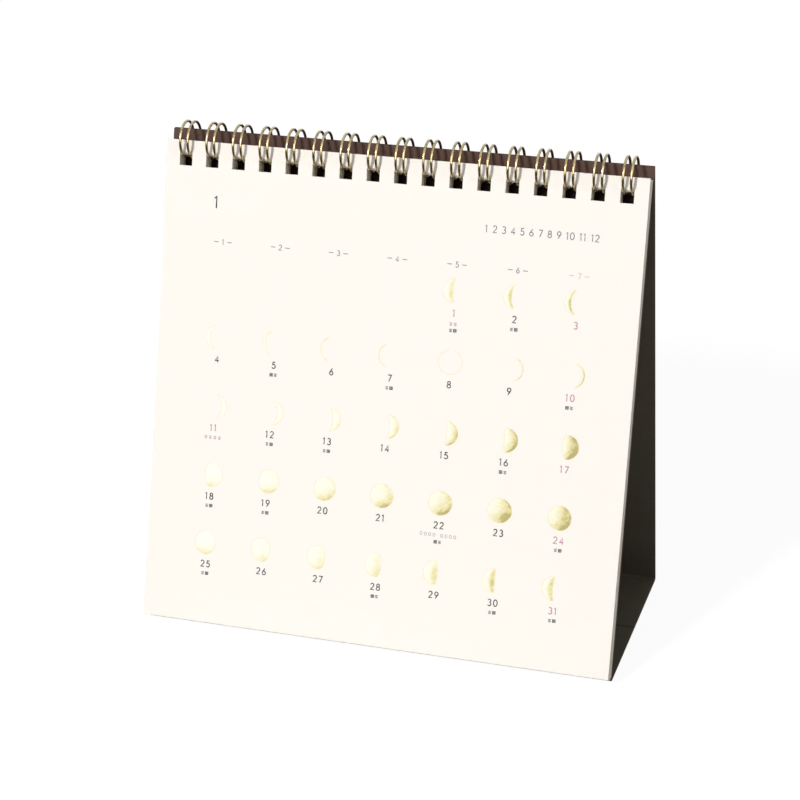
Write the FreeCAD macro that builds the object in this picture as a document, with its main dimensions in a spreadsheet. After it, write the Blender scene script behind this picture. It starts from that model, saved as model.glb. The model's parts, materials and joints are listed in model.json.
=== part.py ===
"""Desk calendar: a block of square leaves that hangs on a twin-loop wire from a folded board tent.

Millimetres. X runs along the binding, Y from the front of the tent to its back, Z up. The origin is
the middle of the base, on the surface that it stands on.

Pieces: stand (one board, creased and folded to a triangle that is open at both ends), wire_binding
(one wire bent to a comb of hairpins and rolled to rings) and page_block (the leaves, as one solid).
"""

import FreeCAD
import Part

import math
import os

import Sketcher

# Driving dimensions: name, value and what it is.
SIZES = [
    ("cut_width", 148.0, "width along the binding, to which board and leaves are trimmed together"),
    ("panel_length", 153.5, "front or back panel, from the fold to the free edge"),
    ("lean", 13.2, "lean of both panels from upright, in degrees"),
    ("board_thickness", 0.5, "thickness of the board"),
    ("ridge_gap", 0.1, "gap between the two free edges at the ridge"),
    ("fold_radius", 0.3, "inside radius of the two folds"),
    ("crease_width", 0.9, "width of the scored crease along the middle of the base"),
    ("crease_depth", 0.15, "depth of that crease"),
    ("board_margin", 4.5, "board between the front panel's free edge and its punched row"),
    ("hole_pitch", 8.4667, "spacing of the holes, three to the inch"),
    ("row_margin", 5.0, "least distance from a side edge to the middle of the row's end hole"),
    ("hole_clearance", 0.4, "room on each side of a pair of wires in its hole"),
    ("wire_diameter", 0.8, "diameter of the wire"),
    ("leg_spacing", 2.4, "between the middles of a hairpin's two wires"),
    ("ring_radius", 5.45, "radius of the rings, to the middle of the wire"),
    ("root_bend", 1.0, "bend between a hairpin and the spine, to the middle of the wire"),
    ("spine_angle", 227.0, "where the spine lies on the ring, in degrees from the top, front first"),
    ("closure_gap", 1.4, "from the spine to the hairpins' tips along the ring"),
    ("seat_clearance", 0.1, "room between a ring and the edge of the board that carries it"),
    ("leaf_height", 148.0, "height of a leaf"),
    ("block_thickness", 4.85, "all leaves together, at the binding"),
    ("foot_fan", 0.9, "how much thicker the loose feet of the leaves stand"),
    ("leaf_margin", 3.65, "paper between a leaf's top edge and its punched row"),
    ("leaf_clearance", 0.2, "room between the last leaf and the front panel"),
    ("hang_clearance", 0.2, "room between the rings and the upper edge of the leaves' holes"),
]

# Sizes worked out from those: name, formula and what it is. "Down" runs from the ridge down the front
# panel, and "out" runs square to that panel from its outer face towards the front.
WORKED_OUT = [
    ("hole_side", "leg_spacing + wire_diameter + 2 * hole_clearance",
     "side of a square hole"),
    ("hole_count", "floor((cut_width - 2 * row_margin) / hole_pitch) + 1",
     "punched holes in a row: as many as fit"),
    ("first_hole", "(hole_count - 1) / 2 * hole_pitch",
     "from the middle of the row to its first hole"),
    ("half_ridge", "board_thickness * cos(lean) + ridge_gap / 2",
     "from the middle of the tent to the outer corner of a free edge"),
    ("half_base", "half_ridge + panel_length * sin(lean)",
     "from the middle of the base to the sharp corner of a fold"),
    ("ridge_height", "panel_length * cos(lean)",
     "height of the free edges' outer corners"),
    ("inner_ridge", "ridge_height - board_thickness * sin(lean)",
     "height of the free edges' inner corners"),
    ("inner_half_base", "ridge_gap / 2 + (inner_ridge - board_thickness) * tan(lean)",
     "from the middle of the base to the sharp inner corner of a fold"),
    ("ring_out", "(leaf_clearance + block_thickness - 2 * half_ridge) / 2",
     "ring's middle, out: half way through all that the ring binds"),
    ("ring_reach", "sqrt(ring_radius ^ 2 - ring_out ^ 2)",
     "from the ring's middle down to where the ring meets the front panel"),
    ("ring_down", "board_margin + hole_side - seat_clearance - wire_diameter / 2 * ring_radius"
     " / ring_reach - ring_reach",
     "ring's middle, down: the ring sits in the lower edge of the front panel's holes"),
    ("block_front", "leaf_clearance + block_thickness",
     "first leaf's face, out"),
    ("front_reach", "sqrt(ring_radius ^ 2 - (block_front - ring_out) ^ 2)",
     "from the ring's middle down to where the ring meets the first leaf"),
    ("rear_reach", "sqrt(ring_radius ^ 2 - (leaf_clearance - ring_out) ^ 2)",
     "the same for the last leaf"),
    ("leaf_top", "ring_down + front_reach - wire_diameter / 2 * ring_radius / front_reach"
     " - hang_clearance - leaf_margin",
     "first leaf's top edge, down"),
    ("leaf_step", "rear_reach - front_reach",
     "how much lower the last leaf hangs than the first, because the ring is round"),
    ("back_out", "ring_out * cos(2 * lean) + ring_down * sin(2 * lean)"
     " + 2 * half_ridge * cos(lean)",
     "ring's middle, square to the back panel from its outer face, inwards"),
    ("back_down", "ring_down * cos(2 * lean) - ring_out * sin(2 * lean)"
     " - 2 * half_ridge * sin(lean)",
     "ring's middle, down the back panel from its free edge"),
    ("back_reach", "sqrt(ring_radius ^ 2 - back_out ^ 2)",
     "from the ring's middle down to where the ring meets the back panel"),
    ("back_margin", "back_down + back_reach - wire_diameter / 2 * ring_radius / back_reach"
     " - seat_clearance",
     "board between the back panel's free edge and its punched row"),
]

# The wire is bent from short straight lengths, and its section is an octagon.
TURN_PER_CHORD = 20.0
CORNER_CHORD_COUNT = 2
SECTION_SIDE_COUNT = 8

FRONT, BACK = -1, 1


def fill_sheet(doc, name, rows, as_text):
    """Write rows of name, value and note to a spreadsheet, with the names as aliases."""
    sheet = doc.addObject("Spreadsheet::Sheet", name)
    for number, (alias, value, note) in enumerate(rows, start=1):
        sheet.set(f"A{number}", alias)
        sheet.set(f"B{number}", as_text(value))
        sheet.set(f"C{number}", note)
        sheet.setAlias(f"B{number}", alias)
    doc.recompute()
    return sheet


def looked_up(formula, sheets):
    """A formula with each size's name led by the name of the sheet that holds it."""
    words = formula.replace("(", "( ").replace(")", " )").split()
    return " ".join(f"{sheets[word]}.{word}" if word in sheets else word for word in words)


def worked_out_cell(formula):
    """A formula for the second sheet, which looks up the driving dimensions in the first."""
    return "=" + looked_up(formula, {alias: "Sizes" for alias, _, _ in SIZES})


def bound(formula):
    """A formula for a model object, which looks up every size in its sheet."""
    sheets = {alias: "Sizes" for alias, _, _ in SIZES}
    sheets.update({alias: "WorkedOut" for alias, _, _ in WORKED_OUT})
    return looked_up(formula, sheets)


def origin_feature(body, role):
    """The body's own origin plane or axis with that role."""
    return next(item for item in body.Origin.OriginFeatures if item.Role == role)


def add_body(doc, name):
    """A new body whose label names its file."""
    body = doc.addObject("PartDesign::Body", name)
    body.Label = name
    return body


def add_side_sketch(body, name):
    """A sketch on the body's YZ plane: its x is the model's Y, and its y is the model's Z."""
    sketch = body.newObject("Sketcher::SketchObject", name)
    sketch.AttachmentSupport = [(origin_feature(body, "YZ_Plane"), "")]
    sketch.MapMode = "FlatFace"
    return sketch


def lean_on_panel(sketch, side):
    """Move a side sketch to a panel's outer corner at the ridge, and turn its y to run up that panel."""
    turn = FreeCAD.Rotation(FreeCAD.Vector(0, 0, side), 1.0)
    sketch.AttachmentOffset = FreeCAD.Placement(FreeCAD.Vector(), turn)
    sketch.setExpression("AttachmentOffset.Rotation.Angle", bound("lean"))
    sketch.setExpression("AttachmentOffset.Base.x", bound(f"{side} * half_ridge"))
    sketch.setExpression("AttachmentOffset.Base.y", bound("ridge_height"))


def add_outline(sketch, corners):
    """Draw a closed outline through corners, each a pair of formulas, and bind both of its distances."""
    first = sketch.GeometryCount
    places = [
        FreeCAD.Vector(*(float(sketch.evalExpression(bound(text))) for text in corner), 0)
        for corner in corners
    ]
    ends = places[1:] + places[:1]
    for start, end in zip(places, ends):
        sketch.addGeometry(Part.LineSegment(start, end), False)
    for number, corner in enumerate(corners):
        line = first + number
        following = first + (number + 1) % len(corners)
        sketch.addConstraint(Sketcher.Constraint("Coincident", line, 2, following, 1))
        for kind, axis, text, value in (
            ("DistanceX", -2, corner[0], places[number].x),
            ("DistanceY", -1, corner[1], places[number].y),
        ):
            if text == "0":
                sketch.addConstraint(Sketcher.Constraint("PointOnObject", line, 1, axis))
                continue
            index = sketch.addConstraint(Sketcher.Constraint(kind, -1, 1, line, 1, value))
            sketch.setExpression(f"Constraints[{index}]", bound(text))


def add_pad(body, name, sketch, width):
    """Pad a side sketch to both sides of the middle."""
    pad = body.newObject("PartDesign::Pad", name)
    pad.Profile = sketch
    pad.SideType = "Symmetric"
    pad.setExpression("Length", bound(width))
    return pad


def add_punched_row(body, sketch, name):
    """Pocket a side sketch by one hole's width at the first hole, and repeat it along the row."""
    sketch.setExpression("AttachmentOffset.Base.z", bound("-1 * first_hole"))
    pocket = body.newObject("PartDesign::Pocket", f"{name}_hole")
    pocket.Profile = sketch
    pocket.SideType = "Symmetric"
    pocket.setExpression("Length", bound("hole_side"))
    row = body.newObject("PartDesign::LinearPattern", f"{name}_row")
    row.Originals = [pocket]
    row.Direction = (origin_feature(body, "X_Axis"), [""])
    row.setExpression("Occurrences", bound("hole_count"))
    row.setExpression("Length", bound("2 * first_hole"))
    body.Tip = row
    return row


def edges_along_x_at(shape, places, reach):
    """Names of the edges that run along X through the given places in Y and Z."""
    names = []
    for number, edge in enumerate(shape.Edges, start=1):
        start, end = (vertex.Point for vertex in edge.Vertexes)
        runs_along = abs(start.y - end.y) < reach and abs(start.z - end.z) < reach
        if runs_along and any(math.hypot(start.y - y, start.z - z) < reach for y, z in places):
            names.append(f"Edge{number}")
    return names


def add_fold(body, name, base, places, radius):
    """Round the folds' sharp corners, which lie at the given places in Y and Z."""
    fold = body.newObject("PartDesign::Fillet", name)
    fold.Base = (base, edges_along_x_at(base.Shape, places, 1e-3))
    fold.setExpression("Radius", bound(radius))
    return fold


def stand_outline():
    """The folded board's section: the front panel, the base with its scored crease, the back panel."""
    half = [
        ("half_ridge", "ridge_height"),
        ("half_base", "0"),
    ]
    inner_half = [
        ("crease_width / 2", "board_thickness"),
        ("inner_half_base", "board_thickness"),
        ("ridge_gap / 2", "inner_ridge"),
    ]
    crease = [("0", "board_thickness - crease_depth")]
    front = [(f"-1 * ( {across} )", up) for across, up in half]
    inner_front = [(f"-1 * ( {across} )", up) for across, up in inner_half]
    return front + half[::-1] + inner_half[::-1] + crease + inner_front


def punch_outline(margin):
    """A hole's section, square to the panel and longer than the board is thick."""
    top = f"-1 * {margin}"
    foot = f"-1 * ( {margin} + hole_side )"
    reach = "2 * board_thickness"
    return [(f"-{reach}", top), (reach, top), (reach, foot), (f"-{reach}", foot)]


def add_stand(doc, sizes, worked_out):
    """The tent: pad the folded section, round the folds and punch both panels."""
    body = add_body(doc, "stand")
    section = add_side_sketch(body, "board_section")
    add_outline(section, stand_outline())
    board = add_pad(body, "board", section, "cut_width")
    doc.recompute()
    outer = [(side * worked_out.half_base, 0.0) for side in (FRONT, BACK)]
    inner = [(side * worked_out.inner_half_base, sizes.board_thickness) for side in (FRONT, BACK)]
    outside = add_fold(body, "outside_of_folds", board, outer, "fold_radius + board_thickness")
    doc.recompute()
    add_fold(body, "inside_of_folds", outside, inner, "fold_radius")
    for side, name, margin in ((FRONT, "front", "board_margin"), (BACK, "back", "back_margin")):
        punch = add_side_sketch(body, f"{name}_punch")
        lean_on_panel(punch, side)
        add_outline(punch, punch_outline(margin))
        add_punched_row(body, punch, name)
    return body


def add_page_block(doc):
    """The leaves: each hangs a little lower than the one before it, and their feet stand apart."""
    body = add_body(doc, "page_block")
    section = add_side_sketch(body, "leaves_section")
    lean_on_panel(section, FRONT)
    foot = "leaf_top + leaf_height"
    add_outline(section, [
        ("-1 * block_front", "-1 * leaf_top"),
        ("-1 * ( block_front + foot_fan )", f"-1 * ( {foot} )"),
        ("-1 * leaf_clearance", f"-1 * ( {foot} + leaf_step )"),
        ("-1 * leaf_clearance", "-1 * ( leaf_top + leaf_step )"),
    ])
    add_pad(body, "leaves", section, "cut_width")
    punch = add_side_sketch(body, "leaf_punch")
    lean_on_panel(punch, FRONT)
    hole_top = "leaf_top + leaf_margin"
    hole_foot = "leaf_top + leaf_margin + hole_side"
    spill = "leaf_step / block_thickness * leaf_clearance"
    add_outline(punch, [
        ("-1 * ( block_front + leaf_clearance )", f"-1 * ( {hole_top} - {spill} )"),
        ("-1 * ( block_front + leaf_clearance )", f"-1 * ( {hole_foot} - {spill} )"),
        ("0", f"-1 * ( {hole_foot} + leaf_step + {spill} )"),
        ("0", f"-1 * ( {hole_top} + leaf_step + {spill} )"),
    ])
    add_punched_row(body, punch, "leaf")
    return body


def arc_points(middle, radius, start, end, chords):
    """Corners of an arc of equal chords, both ends included, in a plane and in degrees."""
    angles = [math.radians(start + (end - start) * step / chords) for step in range(chords + 1)]
    return [
        (middle[0] + radius * math.cos(angle), middle[1] + radius * math.sin(angle))
        for angle in angles
    ]


def hairpin_side(sizes):
    """The left side of a flat hairpin whose middle is at 0: from the spine to where its tip bends."""
    half = sizes.leg_spacing / 2
    bend = sizes.root_bend
    start = bend
    end = 2 * math.pi * sizes.ring_radius - sizes.closure_gap - half
    chords = math.ceil(math.degrees((end - start) / sizes.ring_radius) / TURN_PER_CHORD)
    root = arc_points((-half - bend, bend), bend, -90, 0, CORNER_CHORD_COUNT)
    leg = [(-half, start + (end - start) * step / chords) for step in range(1, chords + 1)]
    return root + leg


def comb_points(sizes, worked_out):
    """The whole flat comb as one path: hairpins in a row, joined at their roots by the spine."""
    half = sizes.leg_spacing / 2
    left = hairpin_side(sizes)
    right = [(-across, along) for across, along in reversed(left)]
    tip = arc_points((0, left[-1][1]), half, 180, 0, 2 * CORNER_CHORD_COUNT)[1:-1]
    holes = round(worked_out.hole_count)
    path = []
    for number in range(holes):
        middle = number * sizes.hole_pitch - worked_out.first_hole
        path += [(middle + across, along) for across, along in left + tip + right]
    root = CORNER_CHORD_COUNT + 1
    cut_start = (-worked_out.first_hole - half, 0.0)
    cut_end = (worked_out.first_hole + half, 0.0)
    return [cut_start] + path[root - 1:-root + 1] + [cut_end]


def rolled(point, sizes, worked_out):
    """A point of the flat comb after the comb is rolled to rings about their middle."""
    lean = math.radians(sizes.lean)
    up = FreeCAD.Vector(0, math.sin(lean), math.cos(lean))
    out = FreeCAD.Vector(0, -math.cos(lean), math.sin(lean))
    turn = math.radians(sizes.spine_angle) + point[1] / sizes.ring_radius
    ridge = FreeCAD.Vector(point[0], -worked_out.half_ridge, worked_out.ridge_height)
    middle = ridge - up * worked_out.ring_down + out * worked_out.ring_out
    return middle + (up * math.cos(turn) + out * math.sin(turn)) * sizes.ring_radius


def first_section(path, radius):
    """The wire's section at its cut start: an octagon square to the first length."""
    axis = (path[1] - path[0]).normalize()
    side = axis.cross(FreeCAD.Vector(1, 0, 0)).normalize()
    turns = [360.0 * (step + 0.5) / SECTION_SIDE_COUNT for step in range(SECTION_SIDE_COUNT)]
    return [path[0] + FreeCAD.Rotation(axis, turn).multVec(side) * radius for turn in turns]


def slid_section(section, start, place, following):
    """Slide a section along its length to the mitre at place, which halves the turn there."""
    axis = (place - start).normalize()
    mitre = axis if following is None else axis + (following - place).normalize()
    return [corner + axis * ((place - corner).dot(mitre) / axis.dot(mitre)) for corner in section]


def tube(path, radius):
    """A solid wire of flat sides along a path of straight lengths, mitred at each corner."""
    sections = [first_section(path, radius)]
    for number in range(1, len(path)):
        following = path[number + 1] if number + 1 < len(path) else None
        sections.append(slid_section(sections[-1], path[number - 1], path[number], following))
    loops = [sections[0][::-1], sections[-1]]
    for near, far in zip(sections, sections[1:]):
        sides = zip(near, near[1:] + near[:1], far[1:] + far[:1], far)
        loops += [list(side) for side in sides]
    faces = [Part.Face(Part.makePolygon(loop + loop[:1])) for loop in loops]
    skin = Part.makeCompound(faces)
    skin.sewShape()
    return Part.Solid(skin)


def add_wire_binding(doc, sizes, worked_out):
    """The binding: one wire, bent to a comb of hairpins and rolled until their tips meet the spine."""
    path = [rolled(point, sizes, worked_out) for point in comb_points(sizes, worked_out)]
    binding = doc.addObject("Part::Feature", "wire_binding")
    binding.Label = "wire_binding"
    binding.Shape = tube(path, sizes.wire_diameter / 2)
    binding.Placement = FreeCAD.Placement()
    return binding


def check(doc, pieces):
    """Stop if any object failed to build, or if a piece is not one sound solid."""
    for item in doc.Objects:
        if {"Invalid", "Error"} & set(item.State):
            raise RuntimeError(f"{item.Label} failed: {item.State}")
    for piece in pieces:
        shape = piece.Shape
        if shape.isNull() or not shape.isValid() or len(shape.Solids) != 1:
            raise RuntimeError(f"{piece.Label} is not one sound solid")


def main():
    """Build the calendar and write each piece to its own file."""
    doc = FreeCAD.newDocument("desk_calendar")
    sizes = fill_sheet(doc, "Sizes", SIZES, str)
    worked_out = fill_sheet(doc, "WorkedOut", WORKED_OUT, worked_out_cell)
    pieces = [
        add_stand(doc, sizes, worked_out),
        add_page_block(doc),
        add_wire_binding(doc, sizes, worked_out),
    ]
    doc.recompute()
    check(doc, pieces)
    os.makedirs("parts", exist_ok=True)
    for piece in pieces:
        piece.Shape.exportStep(os.path.join("parts", f"{piece.Label}.step"))
        print(f"{piece.Label}: {piece.Shape.Volume:.1f} mm3, {len(piece.Shape.Faces)} faces")


main()
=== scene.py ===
"""Looks of a desk calendar with a twin-loop wire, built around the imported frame.

The frame gives a folded board tent (CAD node stand, shown with a better material), a block of leaves
and a wire binding. The last two are replaced here by finer pieces: separate leaves that each hang on
the rings, a round wire, and what is printed on the first leaf. Everything is in metres, in the
frame's own axes: x along the binding, y from the front to the back, z up.
"""

import json
import logging
import math
from dataclasses import dataclass, field
from enum import Enum
from typing import Any, Sequence

import bpy
import numpy as np
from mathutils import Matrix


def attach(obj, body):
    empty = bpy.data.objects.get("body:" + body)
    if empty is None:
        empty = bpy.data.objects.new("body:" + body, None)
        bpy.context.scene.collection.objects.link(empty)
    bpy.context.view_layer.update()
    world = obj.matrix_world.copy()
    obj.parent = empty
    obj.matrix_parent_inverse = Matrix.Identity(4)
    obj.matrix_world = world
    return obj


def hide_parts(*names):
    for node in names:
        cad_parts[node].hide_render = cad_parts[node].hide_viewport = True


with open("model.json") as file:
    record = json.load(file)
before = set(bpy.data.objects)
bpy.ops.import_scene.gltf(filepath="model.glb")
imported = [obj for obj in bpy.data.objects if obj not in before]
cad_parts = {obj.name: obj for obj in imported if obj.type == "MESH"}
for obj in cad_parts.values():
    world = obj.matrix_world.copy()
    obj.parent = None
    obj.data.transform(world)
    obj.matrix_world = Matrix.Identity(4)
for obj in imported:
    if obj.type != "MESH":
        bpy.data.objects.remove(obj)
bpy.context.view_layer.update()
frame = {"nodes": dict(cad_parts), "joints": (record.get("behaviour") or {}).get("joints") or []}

MM = 0.001
log = logging.getLogger("desk_calendar")
Array = np.ndarray
Days = tuple[int, ...]
Links = dict[str | int, Any]
Material = bpy.types.Material
Pair = tuple[float, float]
Piece = bpy.types.Object
Socket = bpy.types.NodeSocket


class Ink(Enum):
    """The colours that the first leaf is printed in."""

    WEEKDAY = "#1A2338"
    HOLIDAY = "#C4899E"
    FAINT_HOLIDAY = "#DDB7BF"
    CAPTION = "#8D9297"
    HEADING = "#59616F"


def linear(colour: str) -> tuple[float, float, float, float]:
    """Turn an sRGB hex colour to linear red, green, blue and an alpha of 1.

    Args:
        colour: Six hex digits after a number sign.

    Returns:
        The colour: each channel c up to 0.04045 is c / 12.92, and above that ((c + 0.055) / 1.055)
        to the power 2.4.
    """
    channels = (int(colour[i:i + 2], 16) / 255 for i in (1, 3, 5))
    made = [c / 12.92 if c <= 0.04045 else ((c + 0.055) / 1.055) ** 2.4 for c in channels]
    return (*made, 1.0)


def circle(turns: Array) -> Array:
    """Points on the unit circle, at angles from the first axis towards the second."""
    return np.stack([np.cos(turns), np.sin(turns)], -1)


def unit(rows: Array) -> Array:
    """The rows over their lengths."""
    return rows / np.linalg.norm(rows, axis=1, keepdims=True)


def put_in_scene(name: str, data: bpy.types.ID) -> Piece:
    """Make an object and link it to the scene.

    Args:
        name: The object's name.
        data: Its mesh, lamp or camera.

    Returns:
        The object.
    """
    made = bpy.data.objects.new(name, data)
    bpy.context.scene.collection.objects.link(made)
    return made


@dataclass(frozen=True)
class ShaderTree:
    """A node tree, with short ways to add nodes; a value is a number, a hex colour or an output."""

    tree: bpy.types.NodeTree

    def add(self, kind: str, inputs: Links | None = None, **settings: Any) -> bpy.types.Node:
        """Add a node.

        Args:
            kind: The node's type name without its first word, such as Mix for ShaderNodeMix.
            inputs: Socket names or numbers, each with its value.
            settings: Attributes to set on the node first.

        Returns:
            The new node.
        """
        made = self.tree.nodes.new(f"ShaderNode{kind}")
        for name, value in settings.items():
            setattr(made, name, value)
        for name, value in (inputs or {}).items():
            if isinstance(value, Socket):
                self.tree.links.new(value, made.inputs[name])
            else:
                made.inputs[name].default_value = linear(value) if isinstance(value, str) else value
        return made

    def maths(self, operation: str, *values: Any) -> Socket:
        """Add an operation on numbers, named as Blender's Math node names it."""
        return self.add("Math", dict(enumerate(values)), operation=operation).outputs[0]

    def vectors(self, operation: str, first: Any, second: Any) -> bpy.types.NodeOutputs:
        """Add an operation on two vectors, named as Blender's Vector Math node names it."""
        return self.add("VectorMath", {0: first, 1: second}, operation=operation).outputs

    def remap(self, value: Any, source: Sequence[Any] = (0.0, 1.0), target: Sequence[Any] = (0.0, 1.0),
              clamp: bool = True) -> Socket:
        """Add the straight line that takes the source's two values to the target's two."""
        ends = {"From Min": source[0], "From Max": source[1], "To Min": target[0], "To Max": target[1]}
        return self.add("MapRange", {"Value": value, **ends}, clamp=clamp).outputs["Result"]

    def mix(self, share: Any, first: Any, second: Any, blend: str = "MIX") -> Socket:
        """Add a blend of two colours: at a share of 0 the first, at 1 the second or the blend."""
        inputs = {"Factor": share, "A": first, "B": second}
        return self.add("Mix", inputs, data_type="RGBA", blend_type=blend).outputs["Result"]

    def noise(self, place: Socket, grain: float, detail: float = 2.0, rough: float = 0.5) -> Socket:
        """Add a noise whose grain is about that long in metres: its scale is one over the grain."""
        return self.add("TexNoise", {
            "Vector": place, "Scale": 1.0 / grain, "Detail": detail, "Roughness": rough}).outputs["Fac"]

    def coordinates(self, kind: str = "Object") -> Socket:
        """Add the piece's own coordinates, or another kind of them."""
        return self.add("TexCoord").outputs[kind]

    def axis(self, vector: Socket, name: str) -> Socket:
        """Add the part of a vector along one axis."""
        return self.add("SeparateXYZ", {"Vector": vector}).outputs[name]

    def attribute(self, name: str) -> Socket:
        """Add the numbers that the piece stores under that name."""
        return self.add("Attribute", attribute_name=name).outputs["Fac"]

    def close(self, surface: Links, relief: tuple[float, float, Socket] | None = None) -> None:
        """End a material with a Principled shader and its output.

        Args:
            surface: The shader's inputs.
            relief: A bump's strength, depth and height, if there is one.
        """
        inputs = dict(surface)
        if relief:
            bump = dict(zip(("Strength", "Distance", "Height"), relief))
            inputs["Normal"] = self.add("Bump", bump).outputs["Normal"]
        shader = self.add("BsdfPrincipled", inputs)
        self.add("OutputMaterial", {"Surface": shader.outputs["BSDF"]})


def new_material(name: str) -> tuple[Material, ShaderTree]:
    """Make a material with an empty node tree.

    Args:
        name: The material's name.

    Returns:
        The material and its tree.
    """
    material = bpy.data.materials.new(name)
    material.use_nodes = True
    material.node_tree.nodes.clear()
    return material, ShaderTree(material.node_tree)


@dataclass(frozen=True)
class LeafStock:
    """Uncoated offset card: a matt off-white with a faint fibre mottle and greyer cut edges, partly
    their own tone and partly painted shade between the leaves.
    """

    face: str = "#FCF7F0"
    edge: str = "#E4DCCE"
    fibre: float = 0.35 * MM
    cloud: float = 6.0 * MM
    darkest: float = 0.985
    roughness: float = 0.92
    shine: float = 0.25
    tooth: float = 0.12
    tooth_depth: float = 0.05 * MM

    def material(self) -> Material:
        """Build the card's material.

        Returns:
            The material: the face's colour, or the greyer edge's (partly painted shade) where cut_edge
            says so, slightly darkened by two noises.
        """
        made, nodes = new_material("uncoated_card")
        place = nodes.coordinates()
        fibre = nodes.noise(place, self.fibre, detail=4.0, rough=0.6)
        mottle = nodes.maths("MULTIPLY_ADD", fibre, 0.5, nodes.noise(place, self.cloud, detail=3.0))
        tone = nodes.remap(mottle, (0.45, 1.05), (self.darkest, 1.0))
        # painted shade: the greyer edge colour on the cut walls stands partly for the shadow between the
        # leaves, partly for the cut's own tone
        ground = nodes.mix(nodes.attribute("cut_edge"), self.face, self.edge)
        nodes.close({
            "Base Color": nodes.mix(1.0, ground, tone, "MULTIPLY"), "Roughness": self.roughness,
            "Specular IOR Level": self.shine}, (self.tooth, self.tooth_depth, fibre))
        return made


@dataclass(frozen=True)
class DyedBoard:
    """Brown board: dyed and calendered outside, plain and a little greyer inside, with a paler core.

    The dye is a warm dark brown, a little uneven, with faint fibres drawn along the sheet. The
    crease is darkened by painted shade, and a strip of the front's outer face behind the leaves'
    punched row by painted shadow, so that the holes look dark.
    """

    outside: str = "#62493F"
    outside_deep: str = "#47352D"
    inside: str = "#6E685B"
    inside_deep: str = "#5B5549"
    core: str = "#6E5D52"
    fibre: float = 0.7 * MM
    fibre_squash: float = 0.33
    cloud: float = 18.0 * MM
    roughness: float = 0.62
    shine: float = 0.16
    tooth: float = 0.25
    tooth_depth: float = 0.05 * MM
    tent_middle: float = 50.0 * MM
    base_top: float = 4.0 * MM
    crease: float = 0.5 * MM
    crease_tone: float = 0.4
    rub_height: float = 138.9 * MM
    rub_half: float = 2.6 * MM
    rub_fade: float = 0.7 * MM
    rub_tone: float = 0.15

    def material(self) -> Material:
        """Build the board's material.

        Returns:
            The material: on each side a deep and a light colour mix by a cloudy noise and a fibre
            noise stretched along x. The core shows where the surface looks along x. The painted shade
            and shadow darken it all, and take the shine away in step.
        """
        made, nodes = new_material("dyed_board")
        place = nodes.coordinates()
        drawn = nodes.add("Mapping", {"Vector": place, "Scale": (self.fibre_squash, 1.0, 1.0)})
        fibre = nodes.noise(drawn.outputs["Vector"], self.fibre, detail=5.0, rough=0.65)
        amount = nodes.maths("MULTIPLY_ADD", fibre, 0.9, nodes.noise(place, self.cloud))
        light = nodes.remap(amount, (0.4, 1.5))
        inwards = self.looks_inwards(nodes)
        dyed = nodes.mix(inwards, nodes.mix(light, self.outside_deep, self.outside),
                         nodes.mix(light, self.inside_deep, self.inside))
        sideways = nodes.maths("ABSOLUTE", nodes.axis(nodes.coordinates("Normal"), "X"))
        cored = nodes.mix(nodes.remap(sideways, (0.6, 0.9)), dyed, self.core)
        shade = self.shade(nodes, inwards)
        # the painted shade and shadow also take the shine off the crease and the strip behind the
        # punched row
        nodes.close({
            "Base Color": nodes.mix(1.0, cored, shade, "MULTIPLY"), "Roughness": self.roughness,
            "Specular IOR Level": nodes.maths("MULTIPLY", shade, self.shine)},
            (self.tooth, self.tooth_depth, fibre))
        return made

    def looks_inwards(self, nodes: ShaderTree) -> Socket:
        """Add a test of which side of the board is seen.

        Args:
            nodes: The material's tree.

        Returns:
            1 where the surface faces the line along x through the tent's middle, otherwise 0.
        """
        offset = nodes.vectors("SUBTRACT", nodes.coordinates(), (0.0, 0.0, self.tent_middle))
        flat = nodes.vectors("MULTIPLY", offset["Vector"], (0.0, 1.0, 1.0))
        away = nodes.vectors("DOT_PRODUCT", flat["Vector"], nodes.coordinates("Normal"))
        return nodes.maths("LESS_THAN", away["Value"], 0.0)

    def shade(self, nodes: ShaderTree, inwards: Socket) -> Socket:
        """Add the painted shade of the crease and the painted shadow on the strip behind the punched
        row.

        Args:
            nodes: The material's tree.
            inwards: 1 on the tent's inside.

        Returns:
            1, but less on the base near y = 0 and on a strip of the front's outer face.
        """
        y, z = (nodes.axis(nodes.coordinates(), name) for name in "YZ")
        # painted shade: the base darkens towards the crease line at y = 0
        line = nodes.remap(nodes.maths("ABSOLUTE", y), (0.0, self.crease), (self.crease_tone, 1.0))
        crease_shaded = nodes.maths("MAXIMUM", line, nodes.maths("GREATER_THAN", z, self.base_top))
        # painted shadow: a strip of the front's outer face behind the punched row darkens, so the holes
        # look into shadow
        off_row = nodes.maths("ABSOLUTE", nodes.maths("SUBTRACT", z, self.rub_height))
        fade = self.rub_half, self.rub_half + self.rub_fade
        hole_shadow = nodes.remap(off_row, fade, (self.rub_tone, 1.0))
        elsewhere = nodes.maths("MAXIMUM", inwards, nodes.maths("GREATER_THAN", y, 0.0))
        return nodes.maths("MULTIPLY", crease_shaded, nodes.maths("MAXIMUM", hole_shadow, elsewhere))


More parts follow.
